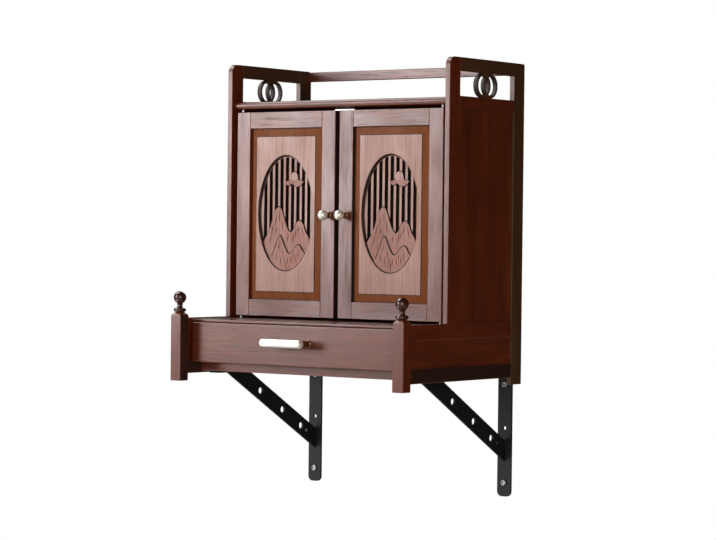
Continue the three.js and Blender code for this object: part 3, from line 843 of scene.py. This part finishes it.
def gouge_strokes(cx, surface):
    """All the strokes as one tool: each a long, narrow, pointed wedge lying along the slope."""
    wedges = []
    for (u0, z0), (u1, z1) in STROKES:
        low = 1 if z0 > max(near_hills(u0 / 1000) * 1000, -200) else 0
        level = surface[low]
        bpy.ops.object.select_all(action="DESELECT")
        bpy.ops.mesh.primitive_cone_add(vertices=4, radius1=1, radius2=0, depth=1,
                                        rotation=(-math.pi / 2, 0, 0))
        wedge = bpy.context.object
        bpy.ops.object.transform_apply(location=True, rotation=True, scale=True)
        run = Vector(((u1 - u0) / 1000, 0, (z1 - z0) / 1000))
        turn = Matrix.Rotation(math.atan2(run.x, run.z), 4, "Y")
        size = Matrix.Diagonal((0.0011, 0.0013, run.length / 1.6, 1))
        middle = Vector((cx + (u0 + u1) / 2000, level + 0.00035, OVAL_HEIGHT + (z0 + z1) / 2000))
        wedge.data.transform(Matrix.Translation(middle) @ turn @ size)
        wedges.append(wedge)
    bpy.ops.object.select_all(action="DESELECT")
    for wedge in wedges:
        wedge.select_set(True)
    bpy.context.view_layer.objects.active = wedges[0]
    bpy.ops.object.join()
    bpy.ops.object.mode_set(mode="EDIT")
    bpy.ops.mesh.select_all(action="SELECT")
    bpy.ops.mesh.normals_make_consistent(inside=False)
    bpy.ops.object.mode_set(mode="OBJECT")
    return bpy.context.object


def cut_slots(panel, cx, field, back):
    wide, tall = OVAL_WIDE - WALL_SLOPE - 0.0003, OVAL_TALL - WALL_SLOPE - 0.0003
    for i in range(-4, 5):
        u = i * SLOT_PITCH
        edges = (u - SLOT_WIDE / 2, u + SLOT_WIDE / 2)
        foot = OVAL_HEIGHT + min(far_hills(edges[0]), far_hills(edges[1]), far_hills(u)) - 0.004
        slit = block((cx + edges[0], field - 0.002, foot),
                     (cx + edges[1], back + 0.002, foot + 0.3), "slit")
        for corner in slit.data.vertices:
            if corner.co.z > foot + 0.1:
                corner.co.z = OVAL_HEIGHT + tall * math.sqrt(1 - ((corner.co.x - cx) / wide) ** 2)
        boolean(panel, slit, "DIFFERENCE")


for side in ("left", "right"):
    node = f"{side}_door_carved_panel"
    low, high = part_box(node)
    cx = (low.x + high.x) / 2
    field = low.y
    shoulder = field + FIELD_STEP
    panel = block((low.x, shoulder + FIELD_FALL, low.z), high, f"{node}_wood")
    bpy.ops.object.mode_set(mode="EDIT")
    bpy.ops.mesh.select_mode(type="FACE")
    bpy.ops.mesh.select_all(action="DESELECT")
    bpy.ops.object.mode_set(mode="OBJECT")
    for face in panel.data.polygons:
        face.select = face.normal.y < -0.9
    bpy.ops.object.mode_set(mode="EDIT")
    bpy.ops.mesh.inset(thickness=LEDGE)
    bpy.ops.mesh.inset(thickness=FIELD_MARGIN - 2 * LEDGE)
    bpy.ops.transform.translate(value=(0, -FIELD_FALL, 0))
    bpy.ops.mesh.inset(thickness=LEDGE)
    bpy.ops.mesh.extrude_region_move(TRANSFORM_OT_translate={"value": (0, -FIELD_STEP, 0)})
    bpy.ops.object.mode_set(mode="OBJECT")
    sink_oval(panel, cx, field)
    cut_slots(panel, cx, field, high.y)
    floor_y = field + OVAL_DEPTH
    far_face, near_face = floor_y - 0.0017, floor_y - 0.0034
    cloud_face, islet_face = floor_y - 0.0018, floor_y - 0.0009
    behind_far, behind_near = floor_y + GROOVE_DEEP, far_face + GROOVE_DEEP
    boolean(panel, skyline_groove("far_groove", cx, -0.0480, 0.0488, far_hills,
                                  floor_y - 0.001, behind_far), "DIFFERENCE")
    far = layer("far_hills", cx, -RANGE_HALF, RANGE_HALF, 120, far_hills, oval_foot,
                far_face, floor_y + 0.004)
    near = layer("near_hills", cx, -RANGE_HALF, RANGE_HALF, 120, near_hills, oval_foot,
                 near_face, floor_y + 0.003)
    drift = layer("cloud", cx, -0.0035, 0.036, 48, cloud_top, cloud_foot, cloud_face, floor_y + 0.0035)
    islet = layer("islet", cx, 0.0075, 0.0235, 32, islet_top, islet_foot, islet_face, floor_y + 0.0032)
    boolean(panel, far, "UNION")
    boolean(panel, skyline_groove("near_groove", cx, -0.0322, 0.0386, near_hills,
                                  floor_y - 0.004, behind_near), "DIFFERENCE")
    boolean(panel, near, "UNION")
    boolean(panel, layer("islet_groove", cx, 0.0058, 0.0252, 40, lambda u: islet_top(u) + 0.0013,
                         islet_foot, floor_y - 0.002, behind_far), "DIFFERENCE")
    boolean(panel, layer("cloud_groove", cx, -0.0050, 0.0376, 48, lambda u: cloud_top(u) + 0.0013,
                         lambda u: cloud_foot(u) - 0.0014, floor_y - 0.003, behind_far), "DIFFERENCE")
    for carving in (drift, islet):
        boolean(panel, carving, "UNION")
    boolean(panel, gouge_strokes(cx, (near_face, far_face)), "DIFFERENCE", True)
    # The second wood, a touch paler, goes on the panel's eased edges as a painted highlight.
    for name, dark, light in (("carved_panel_wood", (0.30, 0.105, 0.056), (0.50, 0.212, 0.126)),
                              ("carved_panel_highlit_edges", (0.30, 0.11, 0.056), (0.50, 0.22, 0.13))):
        panel.data.materials.append(carved_wood(name, dark, light))
    panel.data.materials.append(bevel_wood())
    panel.data.materials.append(gouged_wood())
    for face in panel.data.polygons:
        inside = in_oval(face.center, cx)
        if face.center.y > field + 0.0001 and -0.999 < face.normal.y < (-0.3 if inside else -0.9):
            face.material_index = 2
        elif inside and floor_y - 0.004 < face.center.y < floor_y - 0.0012 and face.normal.y < -0.99:
            face.material_index = 3
    ledges = (shoulder, shoulder + FIELD_FALL)
    grooves = (behind_far, behind_near)

    def recessed(face):
        """Walls of the slots, of the oval and of the ledges, and floors of grooves and ledges: painted
        shade.
        """
        floors = grooves if in_oval(face.center, cx) else ledges
        steep = 0.3 if in_oval(face.center, cx, 0.94) else 0.8
        return abs(face.normal.y) < steep or min(abs(face.center.y - y) for y in floors) < 0.00005

    # These faces, where shade falls among the carving, are painted with deep shade.
    paint_deep_shade_on(panel, recessed)
    ease(panel, 0.0003, segments=2, angle=35)
    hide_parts(node)
    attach(panel, f"{side}_door")


# ---- Door knobs -------------------------------------------------------------------------------
# A small polished brass ball on a waisted neck and a thin flange, screwed from inside the door.

brass = metal("satin_pale_brass", (1.0, 0.97, 0.86), 0.30, 0.40, 120, metallic=0.4)
# The knobs' necks and the handle's legs take a dark brass that stands for their shade: painted shade.
shadowed_brass = metal("painted_shade_neck_brass", (0.24, 0.13, 0.07), 0.35, 0.5, 120)

for side in ("left", "right"):
    node = f"{side}_door_knob"
    low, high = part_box(node)
    centre = (low + high) / 2
    profile = [(0.0058, 0.0), (0.0060, 0.0003), (0.0060, 0.0009), (0.0056, 0.0012), (0.0045, 0.0020),
               (0.0041, 0.0030), (0.0040, 0.0060)] + arc(0.0, 0.0158, 0.0086, -62, 89.5, 24)
    knob = turned(f"{node}_brass", profile)
    knob.data.materials.append(brass)
    knob.data.materials.append(shadowed_brass)
    # The neck and flange below the ball are painted with shade.
    for face in knob.data.polygons:
        if face.center.z < 0.0085:
            face.material_index = 1
    stand(knob, (centre.x, high.y, centre.z), FORWARD)
    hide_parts(node)
    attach(knob, f"{side}_door")


# ---- Drawer -----------------------------------------------------------------------------------
# A dark varnished front with eased edges covers a plain box of thinner, stained boards with a
# plywood bottom. It slides on the floor of the base.

member("drawer_front", "drawer", 0.0014, along="X")
for part, along in (("left_side", "Y"), ("right_side", "Y"), ("back", "X"), ("bottom", "X")):
    plain(f"drawer_{part}", "drawer", along)


# ---- Drawer handle ----------------------------------------------------------------------------
# A round brass bar with softened ends on two short legs, held by machine screws from inside.

LEG_APART = 0.0685
low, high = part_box("drawer_handle")
bar_radius = (high.z - low.z) / 2
bar_y = low.y + bar_radius
bar_z = (low.z + high.z) / 2
half_long = (high.x - low.x) / 2
middle_x = (low.x + high.x) / 2
soft = 0.0045
near_end = arc(bar_radius - soft, soft, soft, -90, 0, 10)
far_end = [(r, 2 * half_long - h) for r, h in reversed(near_end)]
profile = [(0.0005, 0.0)] + near_end + far_end + [(0.0005, 2 * half_long)]
bar = turned("handle_bar", profile)
stand(bar, (low.x, bar_y, bar_z), Matrix.Rotation(math.pi / 2, 4, "Y"))
for sign in (-1, 1):
    legs = [(0.0062, 0.0), (0.0064, 0.0004), (0.0064, 0.0016), (0.0058, 0.0022), (0.0050, 0.0030)]
    legs += [(0.0050, high.y - bar_y - 0.002)]
    leg = turned("handle_leg", legs, 48)
    stand(leg, (middle_x + sign * LEG_APART / 2, high.y, bar_z), FORWARD)
    boolean(bar, leg, "UNION")
bar.data.materials.clear()
bar.data.materials.append(brass)
bar.data.materials.append(shadowed_brass)
# The legs, behind the bar, are painted with shade.
for face in bar.data.polygons:
    face.material_index = int(face.center.y > bar_y + 0.0055)
activate(bar)
bpy.ops.object.shade_smooth_by_angle(angle=math.radians(40))
bar.name = "drawer_handle_brass"
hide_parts("drawer_handle")
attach(bar, "drawer")


# ---- Wall brackets ----------------------------------------------------------------------------
# Each bracket is an angle of flat steel bar with a brace on edge welded between its arms, holes
# punched through, the lower end rounded, and the whole painted black.

black_paint = metal("black_paint_on_steel", (0.008, 0.008, 0.009), 0.55, 0.72, 500, metallic=0.0)
black_paint.node_tree.nodes["Principled BSDF"].inputs["Specular IOR Level"].default_value = 0.3


def punch(piece, place, radius, through):
    bpy.ops.object.select_all(action="DESELECT")
    turn = (math.pi / 2, 0, 0) if through == "Y" else (0, math.pi / 2, 0)
    bpy.ops.mesh.primitive_cylinder_add(vertices=48, radius=radius, depth=0.02, location=place,
                                        rotation=turn)
    boolean(piece, bpy.context.object, "DIFFERENCE")


BAR_ROUND = 0.009
STRUT_SLOPE = 0.5725
STRUT_FOOT = -0.2175
STRUT_HOLES = ((0.0465, 0.006), (0.100, 0.006), (0.1624, 0.006), (0.0302, 0.003))

for side in ("left", "right"):
    node = f"{side}_bracket_upright"
    low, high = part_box(node)
    x = (low.x + high.x) / 2
    foot = low.z
    upright = block(low, high, f"{node}_steel")
    for way in (-1, 1):
        round_edges(upright, lambda c: c.z < foot + 1e-4 and (c.x - x) * way > 0.013, BAR_ROUND, 8)
    for z, radius in ((-0.1046, 0.0028), (-0.179, 0.0032), (-0.2714, 0.0028)):
        punch(upright, (x, -0.002, z), radius, "Y")
    arm_low, arm_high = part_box(f"{side}_bracket_arm")
    arm = block(arm_low, arm_high, f"{side}_bracket_arm_steel")
    for way in (-1, 1):
        round_edges(arm, lambda c: c.y < arm_low.y + 1e-4 and (c.x - x) * way > 0.013, BAR_ROUND, 8)
    brace_low, brace_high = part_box(f"{side}_bracket_strut")
    brace = block(brace_low, brace_high, f"{side}_bracket_strut_steel")
    wall, far_end = brace_high.y, brace_low.y
    half = 0.0149 * math.hypot(1, STRUT_SLOPE)
    for corner in brace.data.vertices:
        if corner.co.y > -0.1:
            corner.co.z = STRUT_FOOT + (half if corner.co.z > -0.15 else -half)
        else:
            reach = half if corner.co.z < -0.15 else -half
            corner.co.y = wall - (brace_high.z + reach - STRUT_FOOT) / STRUT_SLOPE
            corner.co.z = brace_high.z
    for away, radius in STRUT_HOLES:
        punch(brace, (x, -away, STRUT_FOOT + STRUT_SLOPE * (away - 0.004)), radius, "X")
    for piece, part in ((upright, "upright"), (arm, "arm"), (brace, "strut")):
        piece.data.materials.clear()
        piece.data.materials.append(black_paint)
        ease(piece, 0.0005, segments=2)
        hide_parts(f"{side}_bracket_{part}")
        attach(piece, "cabinet")
    for height in ("upper", "lower"):
        node = f"{side}_{height}_wall_screw"
        low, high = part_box(node)
        centre = (low + high) / 2
        profile = [(0.0021, 0.0), (0.0022, 0.004), (0.0053, 0.0041)]
        profile += arc(0.0033, 0.0050, 0.0020, -20, 80, 8)
        profile += [(0.0030, 0.0070), (0.0027, 0.0068), (0.0022, 0.0052), (0.0005, 0.0048)]
        screw = turned(f"{node}_steel", profile, 40)
        screw.data.materials.append(zinc)
        stand(screw, (centre.x, 0, centre.z), FORWARD)
        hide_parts(node)
        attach(screw, "cabinet")


# ---- Sizes and finish -------------------------------------------------------------------------
# A helper rounds the corners of a box to the micrometre.

def corners(bounds):
    return [[round(float(c), 6) for c in corner] for corner in bounds]
